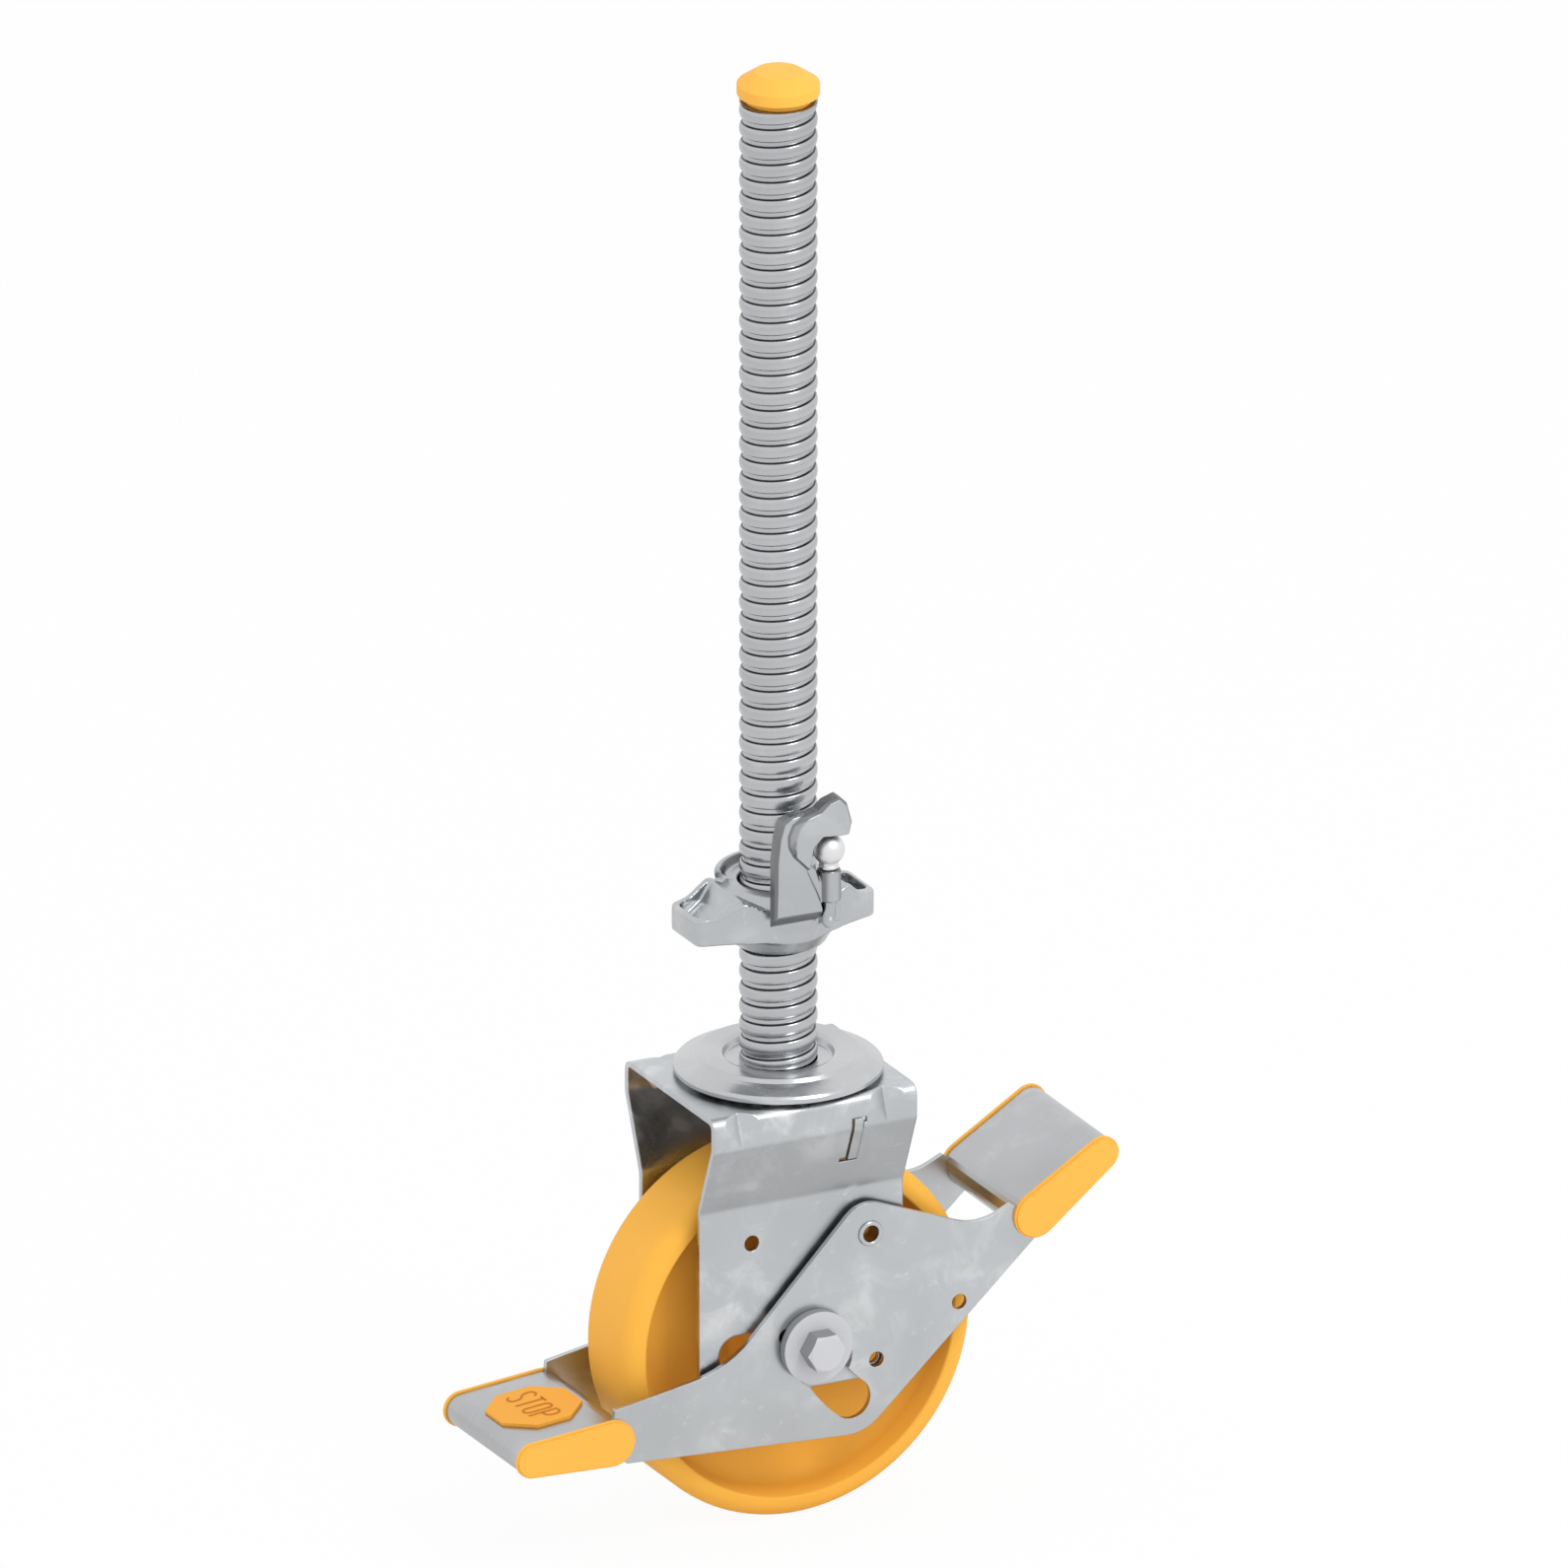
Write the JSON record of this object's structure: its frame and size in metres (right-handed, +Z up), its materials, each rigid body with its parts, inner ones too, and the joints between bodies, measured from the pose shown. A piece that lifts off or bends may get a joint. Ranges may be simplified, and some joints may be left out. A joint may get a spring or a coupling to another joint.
{
  "type": "scaffold castor",
  "caption": "Braked swivel castor for a scaffold tower, with a threaded spindle, a wing nut for height, a two-way brake lever and a yellow wheel that moves under the load.",
  "frame": {"origin": "on the swivel axis, at the spindle's foot where it stands on the swivel disc", "axes": "+Z up the spindle; X along the rolling direction, with the STOP treadle towards -X; Y along the axle; the near side plate faces -Y"},
  "size_m": [0.3453, 0.1147, 0.7864],
  "materials": {
    "galvanised_steel": "bright zinc, satin, faintly spangled",
    "galvanised_casting": "hot-dip zinc over a cast surface, satin",
    "turned_steel": "turned, lightly oiled",
    "zinc_plated": "pale matte zinc plating",
    "bright_steel": "polished",
    "yellow_plastic": "moulded, satin",
    "yellow_polyamide": "moulded, satin"
  },
  "bodies": {
    "spindle_body": {"spindle": "galvanised_steel", "spindle_cap": "yellow_plastic", "kingpin": "turned_steel", "swivel_disc": "galvanised_steel", "lower_race": "turned_steel", "kingpin_nut": "zinc_plated"},
    "fork_body": {"fork": "galvanised_steel", "brake_plate": "galvanised_steel", "upper_balls": "bright_steel", "lower_balls": "bright_steel", "pivot_rivets": "galvanised_steel", "pivot_spacers": "turned_steel"},
    "lever_body": {"lever_plate_near": "galvanised_steel", "lever_plate_far": "galvanised_steel", "stop_treadle": "galvanised_steel", "release_treadle": "galvanised_steel", "stop_cap_near": "yellow_plastic", "stop_cap_far": "yellow_plastic", "release_cap_near": "yellow_plastic", "release_cap_far": "yellow_plastic", "stop_badge": "yellow_plastic"},
    "axle_body": {"axle_tube": "galvanised_steel", "axle_washers": "zinc_plated", "axle_bolt": "zinc_plated", "axle_nut": "zinc_plated"},
    "wheel_body": {"wheel": "yellow_polyamide", "wheel_bushes": "turned_steel"},
    "nut_body": {"adjusting_nut": "galvanised_casting", "claw_stud": "bright_steel"},
    "claw_body": {"locking_claw": "galvanised_casting"}
  },
  "joints": [
    {"name": "swivel", "type": "hinge", "parent": "spindle_body", "child": "fork_body", "pos_m": [0, 0, 0], "axis": [0, 0, 1], "continuous": true},
    {"name": "brake_lever", "type": "hinge", "parent": "fork_body", "child": "lever_body", "pos_m": [0.0325, 0, -0.089], "axis": [0, 1, 0], "range_deg": [0, 45]},
    {"name": "axle_shift", "type": "slide", "parent": "fork_body", "child": "axle_body", "axis": [-1, 0, 0], "range_m": [0, 0.038]},
    {"name": "wheel_spin", "type": "hinge", "parent": "axle_body", "child": "wheel_body", "pos_m": [0, 0, -0.144], "axis": [0, 1, 0], "continuous": true},
    {"name": "nut_height", "type": "slide", "parent": "spindle_body", "child": "nut_body", "axis": [0, 0, 1], "range_m": [-0.055, 0.4]},
    {"name": "claw_swing", "type": "hinge", "parent": "nut_body", "child": "claw_body", "pos_m": [0.0116, -0.034, 0.1], "axis": [0, 0, 1], "range_deg": [0, 100]}
  ],
  "couplings": [
    {"joint": "axle_shift", "follows": "brake_lever", "m_per_rad": 0.04838}
  ]
}
